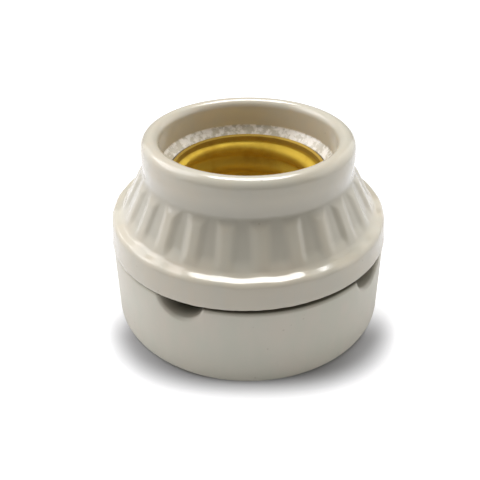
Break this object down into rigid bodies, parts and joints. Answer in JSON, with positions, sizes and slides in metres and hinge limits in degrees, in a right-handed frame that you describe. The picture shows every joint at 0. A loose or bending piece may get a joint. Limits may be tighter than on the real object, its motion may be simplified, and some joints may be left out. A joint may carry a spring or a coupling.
{
  "type": "lamp holder",
  "caption": "Round two-piece porcelain surface lamp holder with a fluted cone, plain collar, rolled brass screw shell, sprung centre contact and wire notches in the base rim.",
  "frame": {"origin": "centre of the foot ring, on the surface that the base stands on", "axes": "+Z along the lamp's axis, out of the socket; the two terminals lie at -X and +X, and the two fixing holes along Y"},
  "size_m": [0.0506, 0.0506, 0.0332],
  "materials": {
    "cap_porcelain": "glossy off-white glaze",
    "base_porcelain": "satin off-white glaze, bare foot ring",
    "shell_brass": "bright rolled sheet",
    "contact_brass": "spring strip",
    "button_brass": "domed rivet",
    "terminal_brass": "stamped",
    "screw_brass": "turned",
    "washer_steel": "zinc plated",
    "sealing_compound": "poured dark compound"
  },
  "bodies": {
    "holder": {"cap": "cap_porcelain", "base": "base_porcelain", "screw_shell": "shell_brass", "contact_strip": "contact_brass", "cap_screws": "screw_brass", "cap_screw_washers": "washer_steel", "plate_screws": "screw_brass", "plate_screw_washers": "washer_steel", "sealing_plugs": "sealing_compound", "terminal_plate_left": "terminal_brass", "terminal_plate_right": "terminal_brass", "terminal_pillar_left": "terminal_brass", "terminal_pillar_right": "terminal_brass"},
    "contact": {"contact_button": "button_brass"},
    "left_clamp": {"clamp_washer_left": "terminal_brass"},
    "left_screw": {"binding_screw_left": "screw_brass"},
    "right_clamp": {"clamp_washer_right": "terminal_brass"},
    "right_screw": {"binding_screw_right": "screw_brass"}
  },
  "joints": [
    {"name": "contact_press", "type": "slide", "parent": "holder", "child": "contact", "axis": [0, 0, -1], "range_m": [0, 0.0012], "stiffness_N_per_m": 3000, "deforming": ["contact_strip"]},
    {"name": "left_clamp_rise", "type": "slide", "parent": "holder", "child": "left_clamp", "axis": [0, 0, 1], "range_m": [0, 0.0024]},
    {"name": "left_binding_turn", "type": "hinge", "parent": "left_clamp", "child": "left_screw", "pos_m": [-0.0176, 0, 0.0068], "axis": [0, 0, 1], "range_deg": [0, 1440]},
    {"name": "right_clamp_rise", "type": "slide", "parent": "holder", "child": "right_clamp", "axis": [0, 0, 1], "range_m": [0, 0.0024]},
    {"name": "right_binding_turn", "type": "hinge", "parent": "right_clamp", "child": "right_screw", "pos_m": [0.0176, 0, 0.0068], "axis": [0, 0, 1], "range_deg": [0, 1440]}
  ],
  "couplings": [
    {"joint": "left_binding_turn", "follows": "left_clamp_rise", "rad_per_m": 10472},
    {"joint": "right_binding_turn", "follows": "right_clamp_rise", "rad_per_m": 10472}
  ]
}
